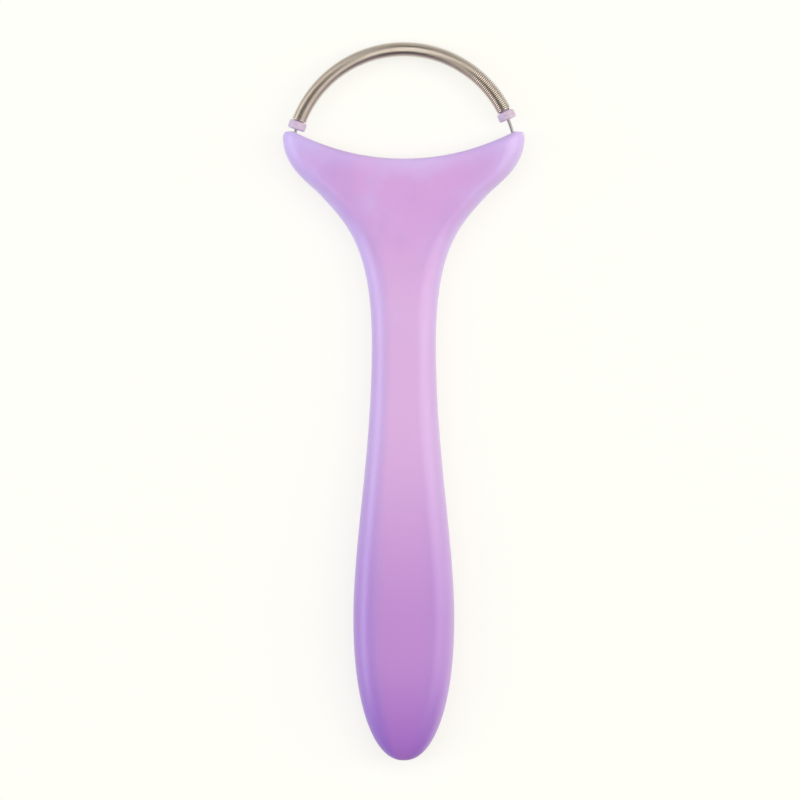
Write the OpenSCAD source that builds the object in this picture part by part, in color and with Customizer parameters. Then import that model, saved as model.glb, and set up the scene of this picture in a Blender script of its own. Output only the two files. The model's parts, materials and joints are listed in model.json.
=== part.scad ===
// Facial hair remover: a close-wound coil turning on a wire arc, over a forked moulded handle.
// It lies on its back. +Y points from the butt of the handle to the coil, +Z away from the table.

/* [Handle] */
// Length of the handle, from its butt to the tips of its horns
handle_l = 131.3; // [124:0.1:145]
// Width of the grip at its widest
grip_w = 21.1; // [16:0.1:26]
// Distance from the butt to the widest place of the grip
grip_at = 30; // [22:0.5:40]
// Width of the neck at its narrowest
neck_w = 13.4; // [10:0.1:16]
// Distance from the butt to the narrowest place of the neck
neck_at = 87; // [74:0.5:92]
// Thickness of the grip
grip_t = 10.8; // [9:0.1:14]
// Thickness of the neck
neck_t = 8.6; // [7:0.1:11]
// Thickness of the head at its rim
head_t = 7.6; // [6.5:0.1:10]
// How far the rounded sides reach in from the edge
side_depth = 4.4; // [2:0.1:6]

/* [Head] */
// Width of the head across its horns
head_w = 50.5; // [44:0.1:58]
// How far the middle of the head's top edge lies below the tips of the horns
head_dip = 5.7; // [3:0.1:8]
// Rounding of the head's top edge, seen from the side
rim_r = 1.2; // [0.6:0.1:1.8]
// Rounding of the horns' outer corners, seen from above
tip_round = 0.7; // [0.4:0.1:1.5]
// Width of the flat on top of each horn, inside its rounding
tip_flat = 1.4; // [0.5:0.1:2]
// Distance from the horn tips down to where the flare turns into the horn
shoulder_drop = 12.9; // [10:0.1:16]
// Distance from the side of the head in to where the flare turns into the horn
shoulder_in = 7.5; // [5:0.1:9]
// Lean of the flare outwards from the handle's axis, where it turns into the horn
flare_angle = 42; // [35:1:50]

/* [Core wire] */
// Diameter of the core wire
wire_d = 0.65; // [0.5:0.01:0.8]
// How far the top of the wire's arc stands above the places where it goes into the horns
arc_rise = 17.45; // [14:0.05:21]
// Distance from the side of the head in to where the wire goes into a horn
mouth_in = 2.55; // [2.2:0.05:3]
// Length of wire inside each horn
buried_l = 3.6; // [2:0.1:4.5]

/* [Coil] */
// Outside diameter of the coil
coil_d = 3.1; // [2.8:0.05:3.4]
// Thickness of the wire that the coil is wound from
coil_wire = 0.34; // [0.33:0.01:0.45]
// Whole travel of the coil and its collars along the arc
slide_play = 3.6; // [2.5:0.1:6]
// Part of that travel that is left on the left side
slide_rest = 0.7; // [0.5:0.05:1.2]

/* [Collars] */
// Outside diameter of a collar
collar_d = 3.75; // [3.2:0.05:4.2]
// Length of a collar, without its spigot
collar_l = 1.75; // [1:0.05:2.5]
// Rounding of a collar's edges
collar_round = 0.4; // [0.1:0.05:0.6]
// Length of the spigot that centres the end of the coil
spigot_l = 0.9; // [0.5:0.05:1.2]

/* [Fits] */
// Play round the wire in a collar
collar_play = 0.08; // [0.06:0.01:0.1]
// Play between a collar's spigot and the inside of the coil
spigot_play = 0.12; // [0.08:0.01:0.2]
// Gap between the last turn of the coil and its collar
seat_gap = 0.06; // [0.05:0.01:0.1]
// Gap between neighbouring turns on the inner side of the bend
turn_gap = 0.03; // [0.02:0.01:0.1]
// Play round the core wire in the horns
horn_play = 0.01; // [0.01:0.01:0.03]
// Gap between the wire's end and the bottom of its hole
foot_gap = 0.2; // [0.1:0.05:0.5]

/* [Hidden] */

lavender = "#D3A6DC";
pale_lavender = "#DCCDE4";
steel = "#B9B3AC";

// Shape of the handle's lines
butt_power = 2.2;
waist_power = 0.87;
dip_power = 2.05;
flare_pull = [21, 8];
horn_pull = [2.2, 6.4];
back_round_l = 13;
front_round_l = 46;
butt_height = 0.44 * grip_t;
bow_from = neck_at + 10;

// Steps in the handle's mesh
butt_steps = 9;
waist_steps = 12;
flare_steps = 12;
horn_steps = 6;
rim_steps = 4;
side_steps = 10;
land_steps = 8;
ring_n = 2 * side_steps + 2 * land_steps;

// Where the rim's rounding starts, seen at the horns, and where the dip starts
rim_y = handle_l - rim_r;
tip_x = head_w / 2 - tip_round - tip_flat;
head_mid_z = head_t / 2;

// Arc of the wire: it runs straight on into both horns, through the mouths in their top edge
mouth_x = head_w / 2 - mouth_in;
mouth_y = handle_l - head_dip * (1 - pow(mouth_x / tip_x, dip_power));
arc_r = (mouth_x * mouth_x + arc_rise * arc_rise) / (2 * arc_rise);
arc_y = mouth_y + arc_rise - arc_r;
mouth_angle = acos((mouth_y - arc_y) / arc_r);

// Places along the arc, as angles from straight ahead, positive to the right
function arc_angle(length) = length / arc_r * 180 / PI;
wire_end_angle = mouth_angle + arc_angle(buried_l);
left_at = -mouth_angle + arc_angle(slide_rest + collar_l / 2);
right_at = mouth_angle - arc_angle(slide_play - slide_rest + collar_l / 2);
coil_from = left_at + arc_angle(collar_l / 2 + seat_gap + coil_wire / 2);
coil_to = right_at - arc_angle(collar_l / 2 + seat_gap + coil_wire / 2);

// Coil: four-sided wire that stands on its corners, ten steps to a turn
wire_sides = 4;
turn_steps = 10;
wire_r = coil_wire / 2;
turn_r = coil_d / 2 - wire_r;
turn_angle = (coil_wire + turn_gap) / (arc_r - turn_r) * 180 / PI;
coil_turns = floor((coil_to - coil_from) / turn_angle);
coil_steps = coil_turns * turn_steps;
coil_bore_r = turn_r * cos(180 / turn_steps) - wire_r;
spigot_r = coil_bore_r - spigot_play;

overall_l = arc_y + arc_r + coil_d / 2;

function mix(a, b, t) = a + (b - a) * t;
function bezier(p, t) =
    p[0] * pow(1 - t, 3) + p[1] * 3 * pow(1 - t, 2) * t + p[2] * 3 * (1 - t) * t * t + p[3] * pow(t, 3);
function rounded(t) = pow(1 - pow(1 - t, butt_power), 1 / butt_power);
function eased(t) = (1 - cos(180 * t)) / 2;

// Side line of the handle from the butt to the horns, as [half width, distance from the butt]
neck_point = [neck_w / 2, neck_at];
shoulder_point = [head_w / 2 - shoulder_in, handle_l - shoulder_drop];
horn_point = [head_w / 2, rim_y];
flare_lean = [sin(flare_angle), cos(flare_angle)];
flare = [neck_point, neck_point + [0, flare_pull[0]], shoulder_point - flare_pull[1] * flare_lean, shoulder_point];
horn = [shoulder_point, shoulder_point + horn_pull[0] * flare_lean, horn_point - [0, horn_pull[1]], horn_point];
side_line = [
    for (i = [1 : butt_steps]) let (a = 90 * i / butt_steps)
        [grip_w / 2 * pow(sin(a), 2 / butt_power), grip_at * (1 - pow(cos(a), 2 / butt_power))],
    for (i = [1 : waist_steps]) let (t = i / waist_steps)
        [mix(grip_w, neck_w, eased(pow(t, waist_power))) / 2, mix(grip_at, neck_at, t)],
    for (i = [1 : flare_steps]) bezier(flare, i / flare_steps),
    for (i = [1 : horn_steps]) bezier(horn, i / horn_steps),
];

// Thickness along the handle, and the heights of its front and back
function thickness(y) =
    y < grip_at ? grip_t :
    y < neck_at ? mix(grip_t, neck_t, eased((y - grip_at) / (neck_at - grip_at))) :
    mix(neck_t, head_t, eased(min(1, (y - neck_at) / (rim_y - neck_at))));
function front_z(y) = mix(butt_height, thickness(y), rounded(min(1, y / front_round_l)));
function back_z(y) = mix(butt_height, 0, rounded(min(1, y / back_round_l)));

// How far the middle of a section lags behind its edges, so that the sections bow into the dip
function bow(y) = y < bow_from ? 0 : head_dip * pow((y - bow_from) / (rim_y - bow_from), 2);

// One section of the handle: flat front and back with rounded sides
function section(half_w, y, bowed, front, back) =
    let (
        depth = min(side_depth, 0.6 * half_w),
        land = half_w - depth,
        dip_half = max(half_w - tip_flat, half_w / 2),
        mid_z = (front + back) / 2,
        half_t = (front - back) / 2
    )
    [for (i = [0 : ring_n - 1])
        let (
            left = i >= ring_n / 2,
            k = left ? i - ring_n / 2 : i,
            on_side = k <= side_steps,
            a = 180 * k / side_steps - 90,
            x = on_side ? land + depth * cos(a) : land * (1 - 2 * (k - side_steps) / land_steps),
            z = on_side ? half_t * sin(a) : half_t,
            turned = left ? -1 : 1
        )
        [turned * x, y - bowed * (1 - pow(min(1, abs(x) / dip_half), dip_power)), mid_z + turned * z]];

function mirrored(i) = (side_steps - i + 2 * ring_n) % ring_n;

module handle_body() {
    rings = [
        for (p = side_line) section(p[0], p[1], bow(p[1]), front_z(p[1]), back_z(p[1])),
        for (i = [1 : rim_steps]) let (a = 90 * i / rim_steps, drawn_in = 1 - cos(a))
            section(
                head_w / 2 - tip_round * drawn_in, rim_y + rim_r * sin(a), head_dip,
                head_t - rim_r * drawn_in, rim_r * drawn_in
            ),
    ];
    ring_count = len(rings);
    points = concat([[0, 0, butt_height]], [for (ring = rings) each ring]);
    top = 1 + (ring_count - 1) * ring_n;
    sides = [for (r = [0 : ring_count - 2], i = [0 : ring_n - 1])
        let (a = 1 + r * ring_n + i, b = 1 + r * ring_n + (i + 1) % ring_n)
        each [[a, b, b + ring_n], [a, b + ring_n, a + ring_n]]];
    butt = [for (i = [0 : ring_n - 1]) [0, 1 + (i + 1) % ring_n, 1 + i]];
    edge = side_steps / 2;
    rim = [for (i = [edge : edge + ring_n / 2 - 1])
        let (j = (i + 1) % ring_n)
        each concat(
            mirrored(j) == j ? [] : [[top + i, top + j, top + mirrored(j)]],
            mirrored(i) == i ? [] : [[top + i, top + mirrored(j), top + mirrored(i)]]
        )];
    polyhedron(points, concat(butt, sides, rim));
}

// A bar of round section bent along the arc, as far as an angle on each side
module arc_bar(d, reach) {
    translate([0, arc_y, head_mid_z])
        rotate_extrude(start = 90 - reach, angle = 2 * reach, $fn = 360)
            translate([arc_r, 0]) circle(d = d, $fn = 32);
}

// Puts the butt of the handle at half the overall length behind the origin
module placed() {
    translate([0, -overall_l / 2, 0]) children();
}

module handle() {
    color(lavender) placed() difference() {
        handle_body();
        arc_bar(wire_d + 2 * horn_play, wire_end_angle + arc_angle(foot_gap));
    }
}

module core_wire() {
    color(steel) placed() arc_bar(wire_d, wire_end_angle);
}

module coil_spring() {
    // Corner k of the coil's wire after so many steps along the coil
    function coil_point(step, k) =
        let (
            along = mix(coil_from, coil_to, step / coil_steps),
            turn = 360 * step / turn_steps,
            corner = 360 * k / wire_sides,
            r = turn_r + wire_r * cos(corner),
            out = arc_r + r * cos(turn),
            ahead = wire_r * sin(corner)
        )
        [
            out * sin(along) + ahead * cos(along),
            arc_y + out * cos(along) - ahead * sin(along),
            head_mid_z + r * sin(turn)
        ];
    points = [for (step = [0 : coil_steps], k = [0 : wire_sides - 1]) coil_point(step, k)];
    sides = [for (step = [0 : coil_steps - 1], k = [0 : wire_sides - 1])
        let (a = step * wire_sides + k, b = step * wire_sides + (k + 1) % wire_sides)
        each [[a, b, b + wire_sides], [a, b + wire_sides, a + wire_sides]]];
    start = [for (k = [wire_sides - 1 : -1 : 0]) k];
    end = [for (k = [0 : wire_sides - 1]) coil_steps * wire_sides + k];
    color(steel) placed() polyhedron(points, concat([start], sides, [end]));
}

// A collar round +Z, its outer face at z = -collar_l / 2 and its spigot towards +Z
module collar() {
    bore_r = wire_d / 2 + collar_play;
    flange_r = collar_d / 2;
    rotate_extrude($fn = 96) {
        translate([bore_r, -collar_l / 2]) square([flange_r - collar_round - bore_r, collar_l]);
        translate([bore_r, collar_round - collar_l / 2])
            square([flange_r - bore_r, collar_l - 2 * collar_round]);
        for (end = [-1, 1])
            translate([flange_r - collar_round, end * (collar_l / 2 - collar_round)])
                circle(r = collar_round, $fn = 32);
        translate([bore_r, 0]) square([spigot_r - bore_r, collar_l / 2 + spigot_l]);
    }
}

// Puts a collar on the arc, with its spigot to the right (1) or to the left (-1)
module on_arc(at, towards) {
    placed()
        translate([arc_r * sin(at), arc_y + arc_r * cos(at), head_mid_z])
            rotate([0, 0, -at])
                rotate([0, 90 * towards, 0])
                    children();
}

module collar_left() {
    color(pale_lavender) on_arc(left_at, 1) collar();
}

module collar_right() {
    color(pale_lavender) on_arc(right_at, -1) collar();
}

handle();
core_wire();
coil_spring();
collar_left();
collar_right();
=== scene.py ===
"""Looks of a forked facial hair remover: a moulded handle with a close-wound coil bowed over its head."""

import json
import math

import bmesh
import bpy
from mathutils import Matrix, Vector


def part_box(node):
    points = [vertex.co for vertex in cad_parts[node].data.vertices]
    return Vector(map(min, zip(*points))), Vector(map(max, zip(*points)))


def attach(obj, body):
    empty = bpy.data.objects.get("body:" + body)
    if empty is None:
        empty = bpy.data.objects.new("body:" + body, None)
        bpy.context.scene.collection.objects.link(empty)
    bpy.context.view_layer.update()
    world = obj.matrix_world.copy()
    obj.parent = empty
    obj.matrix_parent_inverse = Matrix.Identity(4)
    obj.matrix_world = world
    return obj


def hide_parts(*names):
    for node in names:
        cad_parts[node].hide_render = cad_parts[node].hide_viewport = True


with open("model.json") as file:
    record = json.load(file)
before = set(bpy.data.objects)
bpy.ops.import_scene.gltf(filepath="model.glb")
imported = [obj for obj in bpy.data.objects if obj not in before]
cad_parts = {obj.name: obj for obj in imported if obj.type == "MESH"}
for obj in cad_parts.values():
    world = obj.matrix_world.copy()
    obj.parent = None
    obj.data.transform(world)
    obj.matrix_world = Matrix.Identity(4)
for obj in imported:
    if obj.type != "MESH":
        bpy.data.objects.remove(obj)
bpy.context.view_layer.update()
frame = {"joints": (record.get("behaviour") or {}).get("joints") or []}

bl_info = {
    "name": "Coil hair remover",
    "version": (1, 0, 0),
    "blender": (4, 5, 0),
    "location": "View3D > Sidebar > Hair remover",
    "description": "Builds a forked hair remover with a bowed coil, on a pale table",
    "category": "Add Mesh",
}

MM = 0.001

# Places that come from the frame: the arc's centre and the two collars on it
joints = {joint["name"]: joint for joint in frame["joints"]}
arc_centre = Vector(joints["roller_shift"]["pos_m"])
left_collar_at = Vector(joints["left_collar_spin"]["pos_m"])
right_collar_at = Vector(joints["right_collar_spin"]["pos_m"])
arc_radius = (left_collar_at - arc_centre).length
handle_low, handle_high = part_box("handle")
butt_y = handle_low.y
handle_length = handle_high.y - handle_low.y
head_width = handle_high.x - handle_low.x


def angle_on_arc(point):
    """Angle of a point about the arc's centre, from straight ahead, positive to the right."""
    step = point - arc_centre
    return math.atan2(step.x, step.y)


def arc_angle(length):
    return length / arc_radius


def length_prop(name, description, default):
    return bpy.props.FloatProperty(
        name=name, description=description, default=default, min=0.0, precision=5, unit="LENGTH"
    )


def colour_prop(name, description, default):
    return bpy.props.FloatVectorProperty(
        name=name, description=description, default=default, size=3, min=0.0, max=1.0, subtype="COLOR"
    )


def srgb(hex_colour):
    """A colour written as six hex digits, in the linear values that shaders use."""
    parts = [int(hex_colour[i : i + 2], 16) / 255 for i in (0, 2, 4)]
    return tuple(c / 12.92 if c <= 0.04045 else ((c + 0.055) / 1.055) ** 2.4 for c in parts)


class HandleSettings(bpy.types.PropertyGroup):
    """Sizes and colours of the moulded handle."""

    grip_width: length_prop("Grip width", "Width of the grip at its widest", 21.1 * MM)
    grip_at: length_prop("Grip place", "Distance from the butt to the widest place of the grip", 30 * MM)
    neck_width: length_prop("Neck width", "Width of the neck at its narrowest", 13.4 * MM)
    neck_at: length_prop("Neck place", "Distance from the butt to the narrowest place of the neck", 87 * MM)
    grip_thickness: length_prop("Grip thickness", "Thickness of the grip", 10.8 * MM)
    neck_thickness: length_prop("Neck thickness", "Thickness of the neck", 8.6 * MM)
    head_thickness: length_prop("Head thickness", "Thickness of the head at its rim", 2 * arc_centre.z)
    side_depth: length_prop("Side depth", "How far the rounded sides reach in", 4.4 * MM)
    head_dip: length_prop("Head dip", "How far the head's top edge dips between its horns", 5.7 * MM)
    rim_radius: length_prop("Rim rounding", "Rounding of the head's top edge", 1.2 * MM)
    tip_radius: length_prop("Tip rounding", "Rounding of the horns' outer corners", 0.7 * MM)
    tip_flat: length_prop("Tip flat", "Width of the flat on top of each horn", 1.4 * MM)
    neck_colour: colour_prop("Neck colour", "Colour of the plastic at the neck", srgb("D4A8D8"))
    head_colour: colour_prop("Head colour", "Colour of the plastic at the head", srgb("CD9BD4"))
    # The grip and butt colours are darkened with painted shade, as if the light fell from the head's end
    shaded_grip_colour: colour_prop("Grip colour", "Colour of the plastic at the grip", srgb("BA86CA"))
    shaded_butt_colour: colour_prop("Butt colour", "Colour of the plastic at the butt", srgb("A46DC3"))
    # This colour tints the clouds, and also paints highlights along the rim and the edges
    cloud_and_highlight_colour: colour_prop("Edge colour", "Colour along the edges and in the clouds", srgb("CFBCEE"))
    # The side tint paints shade on the rounded sides
    side_shade_tint: colour_prop("Side tint", "What the sides' colour is multiplied by", (0.83, 0.95, 1.0))


class CoilSettings(bpy.types.PropertyGroup):
    """Sizes and colours of the coil, its core wire and its collars."""

    coil_width: length_prop("Coil diameter", "Outside diameter of the coil", 3.1 * MM)
    coil_wire: length_prop("Coil wire", "Diameter of the wire that the coil is wound from", 0.34 * MM)
    turns: bpy.props.IntProperty(name="Turns", description="Turns of the coil", default=137, min=10, max=200)
    seat_gap: length_prop("Seat gap", "Gap between the end of the coil and its collar", 0.06 * MM)
    core_wire: length_prop("Core wire", "Diameter of the core wire", 0.65 * MM)
    buried: length_prop("Buried length", "Length of core wire inside each horn", 3.6 * MM)
    collar_width: length_prop("Collar diameter", "Outside diameter of a collar", 3.75 * MM)
    collar_length: length_prop("Collar length", "Length of a collar without its spigot", 1.75 * MM)
    steel_colour: colour_prop("Steel colour", "Colour of the coil's steel", srgb("CBC1B8"))
    wire_colour: colour_prop("Wire colour", "Colour of the core wire's steel", srgb("9C979D"))
    collar_colour: colour_prop("Collar colour", "Colour of the collars' plastic", srgb("CDBDCF"))


class StageSettings(bpy.types.PropertyGroup):
    """The table, the lamps and the camera."""

    table_colour: colour_prop("Table colour", "Colour of the table and the background", srgb("FEFDF7"))
    frame_width: length_prop("Framed width", "Width that the camera sees at the object", 167.1 * MM)
    lens: bpy.props.FloatProperty(name="Lens", description="Focal length in millimetres", default=400.0)


GROUPS = {"hair_handle": HandleSettings, "hair_coil": CoilSettings, "hair_stage": StageSettings}


def settings(context, name):
    return getattr(context.scene, name)


class Sum:
    """A node socket that is written in sums: each operator adds the Math node that works it out."""

    def __init__(self, tree, socket):
        self.tree, self.socket = tree, socket

    def math(self, operation, *values):
        return self.tree.add("ShaderNodeMath", {"operation": operation}, *values).out()

    def __add__(self, other):
        return self.math("ADD", self, other)

    def __sub__(self, other):
        return self.math("SUBTRACT", self, other)

    def __rsub__(self, other):
        return self.math("SUBTRACT", other, self)

    def __mul__(self, other):
        return self.math("MULTIPLY", self, other)

    def __truediv__(self, other):
        return self.math("DIVIDE", self, other)

    def __abs__(self):
        return self.math("ABSOLUTE", self)

    __radd__ = __add__
    __rmul__ = __mul__

    def cos(self):
        return self.math("COSINE", self)

    def sin(self):
        return self.math("SINE", self)

    def ramped(self, low, high):
        """0 below low, 1 above high, and smooth in between."""
        limits = {"From Min": low, "From Max": high}
        return self.tree.add("ShaderNodeMapRange", {"interpolation_type": "SMOOTHSTEP"}, self, **limits).out()


def socket_of(sockets, key):
    """A node's socket by its place, its identifier or its name."""
    if isinstance(key, int):
        return sockets[key]
    return next((s for s in sockets if s.identifier == key), None) or sockets[key]


class Added:
    """A node that was just added, whose outputs are read by place, identifier or name."""

    def __init__(self, tree, node):
        self.tree, self.node = tree, node

    def out(self, key=0):
        return Sum(self.tree, socket_of(self.node.outputs, key))


class Tree:
    """Adds nodes to a node tree, each with its settings first and then what goes into its sockets."""

    def __init__(self, node_tree):
        self.node_tree = node_tree

    def add(self, kind, choices=None, *values, **named):
        node = self.node_tree.nodes.new(kind)
        for key, choice in (choices or {}).items():
            if key == "stops":
                self.set_stops(node.color_ramp, choice)
            else:
                setattr(node, key, choice)
        for key, value in list(enumerate(values)) + list(named.items()):
            self.feed(socket_of(node.inputs, key), value)
        return Added(self, node)

    def feed(self, socket, value):
        if isinstance(value, Sum):
            self.node_tree.links.new(value.socket, socket)
        elif value is not None:
            wide = hasattr(value, "__len__") and not isinstance(value, str) and len(value) == 3
            socket.default_value = (*value, 1.0) if wide and socket.type == "RGBA" else value

    @staticmethod
    def set_stops(ramp, stops):
        ramp.interpolation = "EASE"
        while len(ramp.elements) < len(stops):
            ramp.elements.new(1.0)
        for element, (place, colour) in zip(ramp.elements, stops):
            element.position = place
            element.color = (*colour, 1.0)

    def mixed(self, share, first, second, blend="MIX"):
        """A colour between two others, or a colour with a share of another blended in."""
        choices = {"data_type": "RGBA", "blend_type": blend}
        sockets = {"Factor_Float": share, "A_Color": first, "B_Color": second}
        return self.add("ShaderNodeMix", choices, **sockets).out("Result_Color")

    def noise(self, place, scale, detail=2.0, roughness=0.5):
        sockets = {"Vector": place, "Scale": scale, "Detail": detail, "Roughness": roughness}
        return self.add("ShaderNodeTexNoise", None, **sockets).out("Fac")

    def stretched(self, place, scale):
        return self.add("ShaderNodeMapping", None, Vector=place, Scale=scale).out()

    def attribute(self, name):
        return self.add("ShaderNodeAttribute", {"attribute_name": name}).out("Fac")


def new_material(name):
    material = bpy.data.materials.new(name)
    material.use_nodes = True
    material.node_tree.nodes.clear()
    return material, Tree(material.node_tree)


def finish_material(tree, fixed, **linked):
    """Ends a material in one Principled shader, with fixed values by socket name and linked ones."""
    shader = tree.add("ShaderNodeBsdfPrincipled", None, **fixed)
    for key, value in linked.items():
        tree.feed(shader.node.inputs[key.replace("_", " ")], value)
    tree.add("ShaderNodeOutputMaterial", None, shader.out())


def bumped(tree, height, distance):
    return tree.add("ShaderNodeBump", None, Height=height, Distance=distance, Strength=1.0).out()


# Where the plastic's colours lie, in shares of the handle's length; towards the grip and butt they carry
# painted shade
GRIP_SHARE, NECK_SHARES, HEAD_SHARE = 0.19, (0.57, 0.7), 0.88
HEAD_FADE = (0.6, 0.9)


def handle_plastic(look):
    """Glossy moulded plastic, pinker at the neck, with painted shade that deepens it towards the grip and
    butt and tints its sides bluish, and painted highlights that pale its edges and the rim of the dip.
    """
    material, tree = new_material("handle_plastic")
    coords = tree.add("ShaderNodeTexCoord")
    place = coords.out("Object")
    spot = tree.add("ShaderNodeSeparateXYZ", None, place)
    across, along = spot.out("X"), spot.out("Y")
    turned = tree.add("ShaderNodeSeparateXYZ", None, coords.out("Normal")).out("X")
    lengthwise = (along - butt_y) / handle_length
    stops = [
        (0.0, look.shaded_butt_colour),
        (GRIP_SHARE, look.shaded_grip_colour),
        *((share, look.neck_colour) for share in NECK_SHARES),
        (HEAD_SHARE, look.head_colour),
    ]
    # The ramp deepens from the neck to the butt: painted shade
    body = tree.add("ShaderNodeValToRGB", {"stops": stops}, lengthwise).out()
    on_head = lengthwise.ramped(*HEAD_FADE)
    # Pale clouds on the head, and a painted highlight along the rim of the dip
    cloud = tree.noise(place, 95.0, 3.0).ramped(0.42, 0.75) * on_head
    body = tree.mixed(cloud * 0.3 + tree.attribute("rim_share") * 0.5, body, look.cloud_and_highlight_colour)
    # Painted shade: a bluish tint that grows towards the sides with an uneven edge, weaker on the head and on
    # the lit right side
    out_share = tree.attribute("side_share")
    wander = tree.noise(tree.stretched(place, (1.0, 0.3, 1.0)), 130.0, 4.0) * 0.3 - 0.15
    right_side = across.ramped(0.0, 4 * MM)
    side = (out_share + wander).ramped(0.3, 0.8) * (1 - on_head * 0.5) * (1 - right_side * 0.3)
    # More painted shade in the same tint, in uneven patches, mostly over the left of the head
    left_head_shade = tree.noise(tree.stretched(place, (1.0, 0.8, 1.0)), 140.0, 4.0, 0.6) - across * 7
    left_head_shade = left_head_shade.ramped(0.5, 0.72) * on_head
    tinted = tree.mixed(side + left_head_shade * (1 - side) * 0.4, body, look.side_shade_tint, "MULTIPLY")
    # Painted highlight: pale outermost edges, on the right and all round the head
    edge_highlight = turned.ramped(0.5, 0.95) * 0.3 + (out_share + wander * 0.4).ramped(0.65, 1.0) * on_head * 0.6
    smear = tree.noise(tree.stretched(place, (1.0, 0.35, 1.0)), 160.0, 4.0, 0.6)
    relief = tree.noise(place, 420.0) * 0.5 + tree.noise(place, 2600.0) * 0.16
    finish_material(
        tree,
        {"Subsurface Weight": 0.12, "Subsurface Radius": (0.003, 0.0016, 0.0035), "Subsurface Scale": 1.0,
         "IOR": 1.49, "Specular IOR Level": 0.45},
        Base_Color=tree.mixed(edge_highlight, tinted, look.cloud_and_highlight_colour),
        Roughness=0.27 + smear * 0.12,
        Normal=bumped(tree, relief, 0.03 * MM),
    )
    return material


def coil_steel(look):
    """Bright drawn steel, warm grey, with fine draw marks and slight dulling."""
    material, tree = new_material("coil_steel")
    place = tree.add("ShaderNodeTexCoord").out("Object")
    patches = tree.noise(place, 240.0, 3.0).ramped(0.3, 0.75)
    warm = tuple(c * f for c, f in zip(look.steel_colour, (0.93, 0.89, 0.84)))
    fine = tree.noise(place, 5200.0)
    finish_material(
        tree,
        {"Metallic": 1.0},
        Base_Color=tree.mixed(patches * 0.6, look.steel_colour, warm),
        Roughness=0.14 + patches * 0.04 + fine * 0.04,
        Normal=bumped(tree, fine, 0.006 * MM),
    )
    return material


def wire_steel(look):
    """Drawn wire, darker than the coil."""
    material, tree = new_material("wire_steel")
    place = tree.add("ShaderNodeTexCoord").out("Object")
    marks = tree.noise(place, 3000.0, 3.0)
    dark = tuple(c * 0.6 for c in look.wire_colour)
    finish_material(
        tree,
        {"Metallic": 1.0},
        Base_Color=tree.mixed(marks, dark, look.wire_colour),
        Roughness=0.2 + marks * 0.1,
        Normal=bumped(tree, marks, 0.005 * MM),
    )
    return material


def collar_plastic(look):
    """Pale, milky plastic that lets light through."""
    material, tree = new_material("collar_plastic")
    place = tree.add("ShaderNodeTexCoord").out("Object")
    milk = tree.noise(place, 700.0, 3.0)
    deep = tuple(c * f for c, f in zip(look.collar_colour, (0.93, 0.88, 0.93)))
    finish_material(
        tree,
        {"Subsurface Weight": 0.5, "Subsurface Radius": (0.0012, 0.0008, 0.0014), "Subsurface Scale": 1.0,
         "IOR": 1.47},
        Base_Color=tree.mixed(milk.ramped(0.3, 0.7), look.collar_colour, deep),
        Roughness=0.34 + milk * 0.1,
        Normal=bumped(tree, milk, 0.01 * MM),
    )
    return material


def shown_to_eye(tree):
    """1 for what the camera sees, also in mirrors and through glass, and 0 for what only lights."""
    path = tree.add("ShaderNodeLightPath")
    seen = path.out("Is Camera Ray") + path.out("Is Glossy Ray") + path.out("Is Transmission Ray")
    return seen.ramped(0.0, 1.0)


# The share of the table's brightness that no shadow takes away
TABLE_GLOW = 0.75


def table_paint(colour):
    """Pale table: white to the camera and to mirrors, with the object's own soft shadow."""
    material, tree = new_material("table_paint")
    seen = shown_to_eye(tree)
    matt = tree.add("ShaderNodeBsdfDiffuse", None, colour).out()
    plain = tree.add("ShaderNodeEmission", None, colour).out()
    shader = tree.add("ShaderNodeMixShader", None, seen * TABLE_GLOW, matt, plain).out()
    tree.add("ShaderNodeOutputMaterial", None, shader)
    return material


def link(obj):
    bpy.context.scene.collection.objects.link(obj)
    return obj


def mesh_object(name, points, faces, material):
    mesh = bpy.data.meshes.new(name)
    mesh.from_pydata([tuple(p) for p in points], [], [tuple(int(i) for i in f) for f in faces])
    mesh.materials.append(material)
    mesh.validate()
    obj = link(bpy.data.objects.new(name, mesh))
    face_outwards(mesh)
    mesh.shade_smooth()
    return obj


def face_outwards(mesh):
    """Turns every face so that it looks out of the solid."""
    form = bmesh.new()
    form.from_mesh(mesh)
    bmesh.ops.recalc_face_normals(form, faces=form.faces)
    form.to_mesh(mesh)
    form.free()


def plain_mesh(obj):
    """Turns an object's evaluated result into a plain mesh object of the same name."""
    evaluated = obj.evaluated_get(bpy.context.evaluated_depsgraph_get())
    mesh = bpy.data.meshes.new_from_object(evaluated)
    name = obj.name
    obj.modifiers.clear()
    obj.data = mesh
    mesh.name = name
    return obj


# The handle's lines: the powers of its butt, waist and dip, how its flare and horns are pulled, how its
# front and back round off at the butt, and the steps that it is drawn in

BUTT_POWER = 2.2
WAIST_POWER = 0.87
DIP_POWER = 2.05
FLARE_LEAN = math.radians(42)
FLARE_PULL = (21 * MM, 8 * MM)
HORN_PULL = (2.2 * MM, 6.4 * MM)
SHOULDER_DROP = 12.9 * MM
SHOULDER_IN = 7.5 * MM
BACK_ROUND = 13 * MM
FRONT_ROUND = 46 * MM
BUTT_HEIGHT = 0.44
MOST_SIDE = 0.6
BOW_LEAD = 10 * MM
RIM_FADE = 5 * MM
RIM_FADE_POWER = 1.5
STEPS = {"butt": 44, "waist": 70, "flare": 56, "horn": 30, "rim": 10}
LAND_STEPS = 32
SIDE_CORNER_STEPS = 20

# The parting line of the mould: a fine groove at the middle of the sides and across the dip
PARTING_DEPTH = 0.035 * MM
PARTING_LIP = 0.09 * MM
MOST_LIP = 0.15
PARTING_ANGLE = math.radians(1.2)


def eased(t):
    return (1 - math.cos(math.pi * t)) / 2


def rounded(t):
    return (1 - (1 - min(1.0, t)) ** BUTT_POWER) ** (1 / BUTT_POWER)


def mix(a, b, t):
    return a + (b - a) * t


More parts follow.
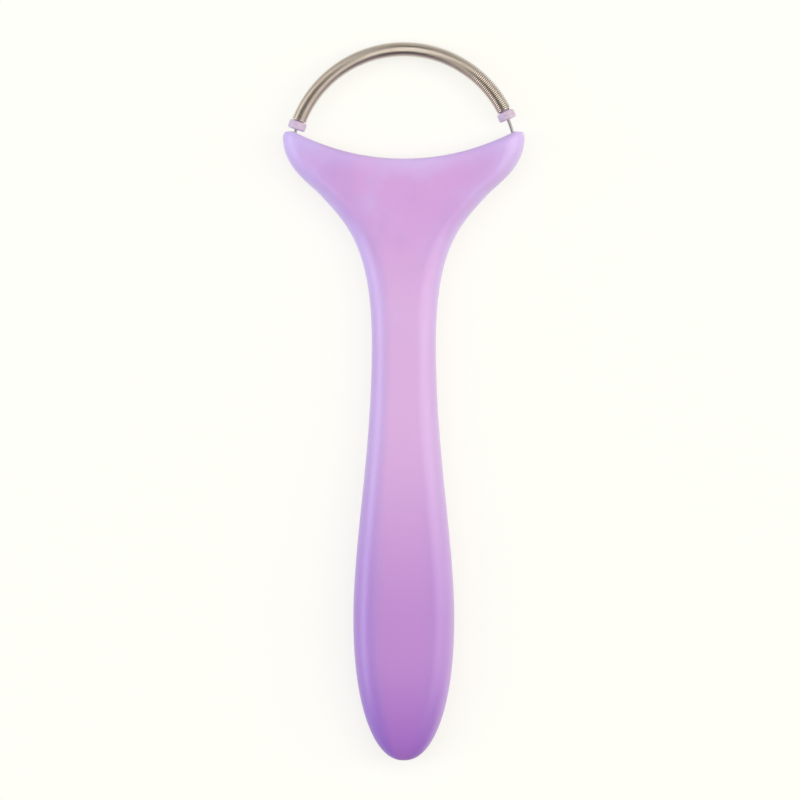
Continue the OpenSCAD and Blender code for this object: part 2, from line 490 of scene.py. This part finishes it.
def bezier(a, b, c, d, t):
    return a * (1 - t) ** 3 + b * 3 * (1 - t) ** 2 * t + c * 3 * (1 - t) * t * t + d * t**3


UPPER_ANGLES = [mix(PARTING_ANGLE, math.pi / 2, i / SIDE_CORNER_STEPS) for i in range(SIDE_CORNER_STEPS + 1)]
SIDE_ANGLES = [-a for a in reversed(UPPER_ANGLES)] + [0.0] + UPPER_ANGLES
SIDE_STEPS = len(SIDE_ANGLES) - 1
RING = 2 * SIDE_STEPS + 2 * LAND_STEPS


def side_line(size):
    """Half widths and distances from the butt, along the handle's side from the butt to the horns."""
    power = 2 / BUTT_POWER
    for i in range(1, STEPS["butt"] + 1):
        a = math.pi / 2 * i / STEPS["butt"]
        along = size.grip_at * (1 - max(0.0, math.cos(a)) ** power)
        yield size.grip_width / 2 * math.sin(a) ** power, along
    for i in range(1, STEPS["waist"] + 1):
        t = i / STEPS["waist"]
        width = mix(size.grip_width, size.neck_width, eased(t**WAIST_POWER))
        yield width / 2, mix(size.grip_at, size.neck_at, t)
    neck = Vector((size.neck_width / 2, size.neck_at))
    shoulder = Vector((head_width / 2 - SHOULDER_IN, handle_length - SHOULDER_DROP))
    horn = Vector((head_width / 2, handle_length - size.rim_radius))
    lean = Vector((math.sin(FLARE_LEAN), math.cos(FLARE_LEAN)))
    flare = (neck, neck + Vector((0, FLARE_PULL[0])), shoulder - FLARE_PULL[1] * lean, shoulder)
    tip = (shoulder, shoulder + HORN_PULL[0] * lean, horn - Vector((0, HORN_PULL[1])), horn)
    for name, curve in (("flare", flare), ("horn", tip)):
        for i in range(1, STEPS[name] + 1):
            yield tuple(bezier(*curve, i / STEPS[name]))


def thickness(size, y):
    if y < size.grip_at:
        return size.grip_thickness
    if y < size.neck_at:
        share = (y - size.grip_at) / (size.neck_at - size.grip_at)
        return mix(size.grip_thickness, size.neck_thickness, eased(share))
    rim_y = handle_length - size.rim_radius
    share = min(1.0, (y - size.neck_at) / (rim_y - size.neck_at))
    return mix(size.neck_thickness, size.head_thickness, eased(share))


def section(size, half_width, y, bow, front, back):
    """Points of one section of the handle, flat in front and behind with rounded sides."""
    depth = min(size.side_depth, MOST_SIDE * half_width)
    land = half_width - depth
    reach = max(half_width - size.tip_flat, half_width / 2)
    mid_z, half = (front + back) / 2, (front - back) / 2
    points = []
    for i in range(RING):
        turned = -1 if i >= RING // 2 else 1
        k = i % (RING // 2)
        if k <= SIDE_STEPS:
            a = SIDE_ANGLES[k]
            x, rise = land + depth * math.cos(a) - (PARTING_DEPTH if a == 0 else 0), math.sin(a)
        else:
            x, rise = land * (1 - 2 * (k - SIDE_STEPS) / LAND_STEPS), 1.0
        back_set = bow * (1 - min(1.0, abs(x) / reach) ** DIP_POWER)
        points.append((turned * x, butt_y + y - back_set, mid_z + turned * rise * half))
    return points


def handle_shape(size):
    """Points and faces of the whole handle, and how far out each point lies, from 0 to 1 at the sides."""
    butt_z = BUTT_HEIGHT * size.grip_thickness
    rim_y = handle_length - size.rim_radius
    bow_from = size.neck_at + BOW_LEAD
    rings, widths = [], []
    for half_width, y in side_line(size):
        bow = size.head_dip * max(0.0, (y - bow_from) / (rim_y - bow_from)) ** 2
        front = mix(butt_z, thickness(size, y), rounded(y / FRONT_ROUND))
        back = mix(butt_z, 0.0, rounded(y / BACK_ROUND))
        rings.append(section(size, half_width, y, bow, front, back))
        widths.append(half_width)
    for i in range(1, STEPS["rim"] + 1):
        a = math.pi / 2 * i / STEPS["rim"]
        half_width = head_width / 2 - size.tip_radius * (1 - math.cos(a))
        y = rim_y + size.rim_radius * math.sin(a)
        back = size.rim_radius * (1 - math.cos(a))
        rings.append(section(size, half_width, y, size.head_dip, size.head_thickness - back, back))
        widths.append(half_width)
    points = [(0.0, butt_y, butt_z)] + [p for ring in rings for p in ring]
    faces = [(0, 1 + (i + 1) % RING, 1 + i) for i in range(RING)]
    for r in range(len(rings) - 1):
        start = 1 + r * RING
        for i in range(RING):
            j = (i + 1) % RING
            faces.append((start + i, start + j, start + RING + j, start + RING + i))
    faces += rim_cap(points, 1 + (len(rings) - 1) * RING)
    sides = [0.0] + [abs(x) / width for width, ring in zip(widths, rings) for x, _, _ in ring]
    sides += [abs(x) / widths[-1] for x, _, _ in points[len(sides):]]
    return points, faces, sides


def top_edge(size, x):
    """Place along Y of the head's top edge, above a place across the head."""
    reach = head_width / 2 - size.tip_radius - size.tip_flat
    return handle_high.y - size.head_dip * (1 - min(1.0, abs(x) / reach) ** DIP_POWER)


def rim_cap(points, start):
    """Faces across the dip from the front edge to the back edge, with the parting line between them."""
    columns = []
    edge = SIDE_STEPS // 2
    for i in range(edge, edge + RING // 2 + 1):
        front, back = start + i % RING, start + (SIDE_STEPS - i) % RING
        column = [front]
        if front != back:
            (x, y, high), low = points[front], points[back][2]
            lip = min(PARTING_LIP, MOST_LIP * (high - low))
            for rise, sunk in ((lip, 0), (0, PARTING_DEPTH), (-lip, 0)):
                column.append(len(points))
                points.append((x, y - sunk, (high + low) / 2 + rise))
            column.append(back)
        columns.append(column)
    faces = []
    for this, after in zip(columns, columns[1:]):
        for k in range(max(len(this), len(after)) - 1):
            near = this[k : k + 2] if len(this) > 1 else this
            far = after[k : k + 2] if len(after) > 1 else after
            faces.append((*near, *reversed(far)))
    return faces


def tree_input(tree, name, kind, value=None):
    socket = tree.interface.new_socket(name=name, in_out="INPUT", socket_type=kind)
    if value is not None:
        socket.default_value = value
    return socket.identifier


def sweep_tree(name, numbers, material, route):
    """Sweeps a round wire along a route, which gives a place for each share of the way, as a plain mesh."""
    tree = bpy.data.node_groups.new(name, "GeometryNodeTree")
    tree.interface.new_socket(name="Geometry", in_out="INPUT", socket_type="NodeSocketGeometry")
    kinds = {float: "NodeSocketFloat", int: "NodeSocketInt"}
    names = {key: tree_input(tree, key, kinds[type(value)], value) for key, value in numbers.items()}
    names["Material"] = tree_input(tree, "Material", "NodeSocketMaterial")
    tree.interface.new_socket(name="Geometry", in_out="OUTPUT", socket_type="NodeSocketGeometry")
    build = Tree(tree)
    given = build.add("NodeGroupInput")
    value = {key: given.out(key) for key in names}
    line = build.add("GeometryNodeMeshLine", None, value["Steps"] + 1).out()
    curve = build.add("GeometryNodeMeshToCurve", None, line).out()
    share = build.add("GeometryNodeInputIndex").out() / value["Steps"]
    place = build.add("ShaderNodeCombineXYZ", None, *route(share, value)).out()
    placed = build.add("GeometryNodeSetPosition", None, Geometry=curve, Position=place).out()
    circle = {"Resolution": value["Sides"], "Radius": value["Wire"] / 2}
    around = build.add("GeometryNodeCurvePrimitiveCircle", None, **circle).out()
    swept = {"Curve": placed, "Profile Curve": around, "Fill Caps": True}
    tube = build.add("GeometryNodeCurveToMesh", None, **swept).out()
    smooth = build.add("GeometryNodeSetShadeSmooth", None, tube).out()
    whole = build.add("GeometryNodeRealizeInstances", None, smooth).out()
    done = build.add("GeometryNodeSetMaterial", None, Geometry=whole, Material=value["Material"]).out()
    build.add("NodeGroupOutput", None, done)
    return swept_object(name, tree, names, numbers, material)


def swept_object(name, tree, names, numbers, material):
    obj = link(bpy.data.objects.new(name, bpy.data.meshes.new(name)))
    modifier = obj.modifiers.new("Sweep", "NODES")
    modifier.node_group = tree
    for key, number in numbers.items():
        modifier[names[key]] = number
    modifier[names["Material"]] = material
    plain_mesh(obj)
    obj.data.materials.clear()
    obj.data.materials.append(material)
    face_outwards(obj.data)
    return obj


def coil_route(share, value):
    """Where the coil's wire runs: round and round the arc, from its left end to its right end."""
    along = value["From"] + share * (value["To"] - value["From"])
    turn = share * value["Turns"] * (2 * math.pi)
    out = value["Arc radius"] + value["Turn radius"] * turn.cos()
    up = value["Turn radius"] * turn.sin()
    return out * along.sin(), arc_centre.y + out * along.cos(), arc_centre.z + up


def arc_route(share, value):
    """Where the core wire runs: straight along the arc."""
    along = value["From"] + share * (value["To"] - value["From"])
    out = value["Arc radius"]
    return out * along.sin(), arc_centre.y + out * along.cos(), arc_centre.z


def lathe(profile, steps):
    """Points and faces of a closed profile of (radius, height) pairs turned about +Z."""
    count = len(profile)
    points = []
    for i in range(steps):
        a = 2 * math.pi * i / steps
        points += [(r * math.cos(a), r * math.sin(a), z) for r, z in profile]
    faces = []
    for i in range(steps):
        for k in range(count):
            this, after = i * count, (i + 1) % steps * count
            faces.append((this + k, this + (k + 1) % count, after + (k + 1) % count, after + k))
    return points, faces


def corner(r, z, radius, start, steps=8):
    """Points of a quarter circle about (r, z), from a start angle in degrees."""
    angles = [math.radians(start + 90 * i / steps) for i in range(steps + 1)]
    return [(r + radius * math.cos(a), z + radius * math.sin(a)) for a in angles]


# Fine sizes of the collars and of the wire's holes
BORE_PLAY = 0.08 * MM
HOLE_PLAY = 0.02 * MM
COLLAR_ROUND = 0.4 * MM
COLLAR_EDGE = 0.06 * MM
SPIGOT_RADIUS = 1.02 * MM
SPIGOT_REACH = 0.9 * MM

# Steps along each swept wire, those of the coil for one turn, and sides round it
HOLE_STEPS, HOLE_SIDES = 160, 24
CORE_STEPS, CORE_SIDES = 180, 20
COIL_STEPS, COIL_SIDES = 24, 12
COLLAR_STEPS = 64


def collar_profile(size):
    """A collar's section: a rounded flange with a spigot at its +Z side, round a bore for the core wire."""
    bore = size.core_wire / 2 + BORE_PLAY
    half, outer = size.collar_length / 2, size.collar_width / 2
    soft, small = COLLAR_ROUND, COLLAR_EDGE
    spigot, reach = SPIGOT_RADIUS, SPIGOT_REACH
    return [
        *corner(bore + small, -half + small, small, 180, 4),
        *corner(outer - soft, -half + soft, soft, 270),
        *corner(outer - soft, half - soft, soft, 0),
        (spigot, half),
        *corner(spigot - small, half + reach - small, small, 0, 4),
        *corner(bore + small, half + reach - small, small, 90, 4),
    ]


def rides_as(obj, body, node):
    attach(obj, body)
    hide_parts(node)


class HAIR_OT_handle(bpy.types.Operator):
    """Build the moulded handle, with holes for the core wire in its horns"""

    bl_idname = "hair.handle"
    bl_label = "Handle"

    def execute(self, context):
        size = settings(context, "hair_handle")
        wire = settings(context, "hair_coil")
        points, faces, sides = handle_shape(size)
        handle = mesh_object("moulded_handle", points, faces, handle_plastic(size))
        rims = [max(0.0, 1 - (top_edge(size, x) - y) / RIM_FADE) ** RIM_FADE_POWER for x, y, _ in points]
        for name, shares in (("rim_share", rims), ("side_share", sides)):
            handle.data.attributes.new(name, "FLOAT", "POINT").data.foreach_set("value", shares)
        cut_wire_holes(handle, wire)
        rides_as(handle, "handle", "handle")
        return {"FINISHED"}


def cut_wire_holes(handle, wire):
    reach = mouth_angle() + arc_angle(wire.buried)
    numbers = {"Steps": HOLE_STEPS, "Sides": HOLE_SIDES, "Wire": wire.core_wire + HOLE_PLAY,
               "Arc radius": arc_radius, "From": -reach, "To": reach}
    cutter = sweep_tree("wire_holes", numbers, handle.data.materials[0], arc_route)
    cut = handle.modifiers.new("Wire holes", "BOOLEAN")
    cut.operation = "DIFFERENCE"
    cut.solver = "EXACT"
    cut.object = cutter
    plain_mesh(handle)
    bpy.data.objects.remove(cutter)


def mouth_angle():
    """Angle on the arc at which the core wire goes into the horns."""
    wire_low, wire_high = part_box("core_wire")
    reach = math.asin(min(1.0, (wire_high.x - wire_low.x) / 2 / arc_radius))
    size = bpy.context.scene.hair_coil
    return reach - arc_angle(size.buried)


class HAIR_OT_core_wire(bpy.types.Operator):
    """Build the core wire that bows from horn to horn"""

    bl_idname = "hair.core_wire"
    bl_label = "Core wire"

    def execute(self, context):
        size = settings(context, "hair_coil")
        reach = mouth_angle() + arc_angle(size.buried)
        numbers = {"Steps": CORE_STEPS, "Sides": CORE_SIDES, "Wire": size.core_wire,
                   "Arc radius": arc_radius, "From": -reach, "To": reach}
        wire = sweep_tree("bowed_core_wire", numbers, wire_steel(size), arc_route)
        rides_as(wire, "handle", "core_wire")
        return {"FINISHED"}


class HAIR_OT_coil(bpy.types.Operator):
    """Wind the coil round the core wire, from collar to collar"""

    bl_idname = "hair.coil"
    bl_label = "Coil"

    def execute(self, context):
        size = settings(context, "hair_coil")
        from_collar = arc_angle(size.collar_length / 2 + size.seat_gap + size.coil_wire / 2)
        numbers = {
            "Steps": size.turns * COIL_STEPS,
            "Sides": COIL_SIDES,
            "Wire": size.coil_wire,
            "Arc radius": arc_radius,
            "Turn radius": (size.coil_width - size.coil_wire) / 2,
            "Turns": size.turns,
            "From": angle_on_arc(left_collar_at) + from_collar,
            "To": angle_on_arc(right_collar_at) - from_collar,
        }
        coil = sweep_tree("wound_coil", numbers, coil_steel(size), coil_route)
        rides_as(coil, "roller", "coil_spring")
        return {"FINISHED"}


class HAIR_OT_collars(bpy.types.Operator):
    """Turn the two collars that hold the ends of the coil"""

    bl_idname = "hair.collars"
    bl_label = "Collars"

    def execute(self, context):
        size = settings(context, "hair_coil")
        plastic = collar_plastic(size)
        points, faces = lathe(collar_profile(size), COLLAR_STEPS)
        for side, place, towards in (("left", left_collar_at, 1), ("right", right_collar_at, -1)):
            angle = angle_on_arc(place)
            turn = Matrix.Rotation(-angle, 4, "Z") @ Matrix.Rotation(towards * math.pi / 2, 4, "Y")
            there = Matrix.Translation(place) @ turn
            collar = mesh_object(f"turned_collar_{side}", [there @ Vector(p) for p in points], faces, plastic)
            rides_as(collar, f"{side}_collar", f"collar_{side}")
        return {"FINISHED"}


# Each lamp's name, place, size, watts and colour
LAMPS = (
    ("top_lamp", (0.1, 0.3, 1.4), (2.2, 1.8), 16.0, (1.0, 1.0, 1.0)),
    ("left_lamp", (-1.0, 0.0, 0.4), (0.5, 1.2), 6.5, (0.74, 0.86, 1.0)),
    ("right_lamp", (1.0, 0.1, 0.45), (0.5, 1.2), 6.5, (1.0, 0.97, 0.8)),
)
TABLE_REACH = 3.0
TABLE_DROP = Vector((0, 0, -0.05 * MM))


def area_lamp(name, place, size, power, colour):
    """A flat lamp that faces the middle of the handle. What mirrors show of the room is the world's."""
    lamp = bpy.data.lights.new(name, "AREA")
    lamp.shape = "RECTANGLE"
    lamp.size, lamp.size_y = size
    lamp.energy = power
    lamp.color = colour
    obj = link(bpy.data.objects.new(name, lamp))
    obj.location = place
    obj.rotation_euler = (-Vector(place)).to_track_quat("-Z", "Y").to_euler()
    obj.visible_camera = False
    obj.visible_glossy = False


class HAIR_OT_stage(bpy.types.Operator):
    """Lay the pale table, hang the lamps and set up the camera"""

    bl_idname = "hair.stage"
    bl_label = "Stage"

    def execute(self, context):
        look = settings(context, "hair_stage")
        signs = ((-1, -1), (1, -1), (1, 1), (-1, 1))
        corners = [Vector((x * TABLE_REACH, y * TABLE_REACH, 0)) + TABLE_DROP for x, y in signs]
        table = mesh_object("table", corners, [(0, 1, 2, 3)], table_paint(look.table_colour))
        build_world(look)
        for lamp in LAMPS:
            area_lamp(*lamp)
        build_camera(look)
        context.scene.view_settings.view_transform = "Standard"
        return {"FINISHED"}


# Brightness of the room as light, then of what mirrors show of it: everywhere, to the left, to the right
# and low at the back, and the share that is taken away in front
ROOM_LIGHT = 0.3
DIM, LEFT_GLOW, RIGHT_GLOW, BACK_GLOW, FRONT_SHADE = 0.37, 3.4, 2.9, 0.7, 0.7


def build_world(look):
    """A plain white room. Mirrors see it dim with a bright patch on each side, which streaks the coil."""
    world = bpy.data.worlds.new("plain_room")
    world.use_nodes = True
    world.node_tree.nodes.clear()
    tree = Tree(world.node_tree)
    shown_to = shown_to_eye(tree)
    glossy = tree.add("ShaderNodeLightPath").out("Is Glossy Ray")
    towards = tree.add("ShaderNodeSeparateXYZ", None, tree.add("ShaderNodeTexCoord").out("Generated"))
    x, y, z = (towards.out(axis) for axis in "XYZ")
    abeam = 1 - abs(y).ramped(0.3, 0.5)
    left = (0 - x).ramped(0.3, 0.55) * (1 - z.ramped(0.5, 0.65)) * abeam
    right = x.ramped(0.12, 0.35) * z.ramped(0.1, 0.3) * abeam
    back = y.ramped(0.5, 0.85) * (1 - z.ramped(0.25, 0.5))
    front = (0 - y).ramped(0.45, 0.75)
    lit = DIM + left * LEFT_GLOW + right * RIGHT_GLOW + back * BACK_GLOW
    strength = 1 + glossy * (lit * (1 - front * FRONT_SHADE) - 1)
    room = tree.add("ShaderNodeBackground", None, look.table_colour, ROOM_LIGHT).out()
    shown = tree.add("ShaderNodeBackground", None, look.table_colour, strength).out()
    mixed = tree.add("ShaderNodeMixShader", None, shown_to, room, shown).out()
    tree.add("ShaderNodeOutputWorld", None, mixed)
    bpy.context.scene.world = world


# How far the camera stands off the middle, so that the outlines fall where the photograph has them
CAMERA_ASIDE = Vector((-0.8 * MM, 0.209 * MM, 0.0))
SENSOR_WIDTH = 36.0


def build_camera(look):
    """A camera that looks straight down from so far that the object shows almost no perspective."""
    lens = bpy.data.cameras.new("camera")
    lens.lens = look.lens
    lens.sensor_width = SENSOR_WIDTH
    lens.sensor_fit = "HORIZONTAL"
    camera = link(bpy.data.objects.new("camera", lens))
    height = look.frame_width * look.lens / SENSOR_WIDTH
    camera.location = CAMERA_ASIDE + Vector((0, 0, arc_centre.z + height))
    bpy.context.scene.camera = camera


class HAIR_PT_panel(bpy.types.Panel):
    """Lists the pieces of the hair remover"""

    bl_idname = "HAIR_PT_panel"
    bl_label = "Hair remover"
    bl_space_type = "VIEW_3D"
    bl_region_type = "UI"
    bl_category = "Hair remover"

    def draw(self, context):
        for operator in PIECES:
            self.layout.operator(operator.bl_idname)
        for name, group in GROUPS.items():
            box = self.layout.box()
            for key in group.__annotations__:
                box.prop(settings(context, name), key)


PIECES = (HAIR_OT_stage, HAIR_OT_handle, HAIR_OT_core_wire, HAIR_OT_coil, HAIR_OT_collars)
CLASSES = (*GROUPS.values(), *PIECES, HAIR_PT_panel)


def register():
    for cls in CLASSES:
        bpy.utils.register_class(cls)
    for name, group in GROUPS.items():
        setattr(bpy.types.Scene, name, bpy.props.PointerProperty(type=group))


def unregister():
    for name in GROUPS:
        delattr(bpy.types.Scene, name)
    for cls in reversed(CLASSES):
        bpy.utils.unregister_class(cls)


def main():
    register()
    for operator in PIECES:
        area, name = operator.bl_idname.split(".")
        getattr(getattr(bpy.ops, area), name)()


if __name__ == "__main__":
    main()
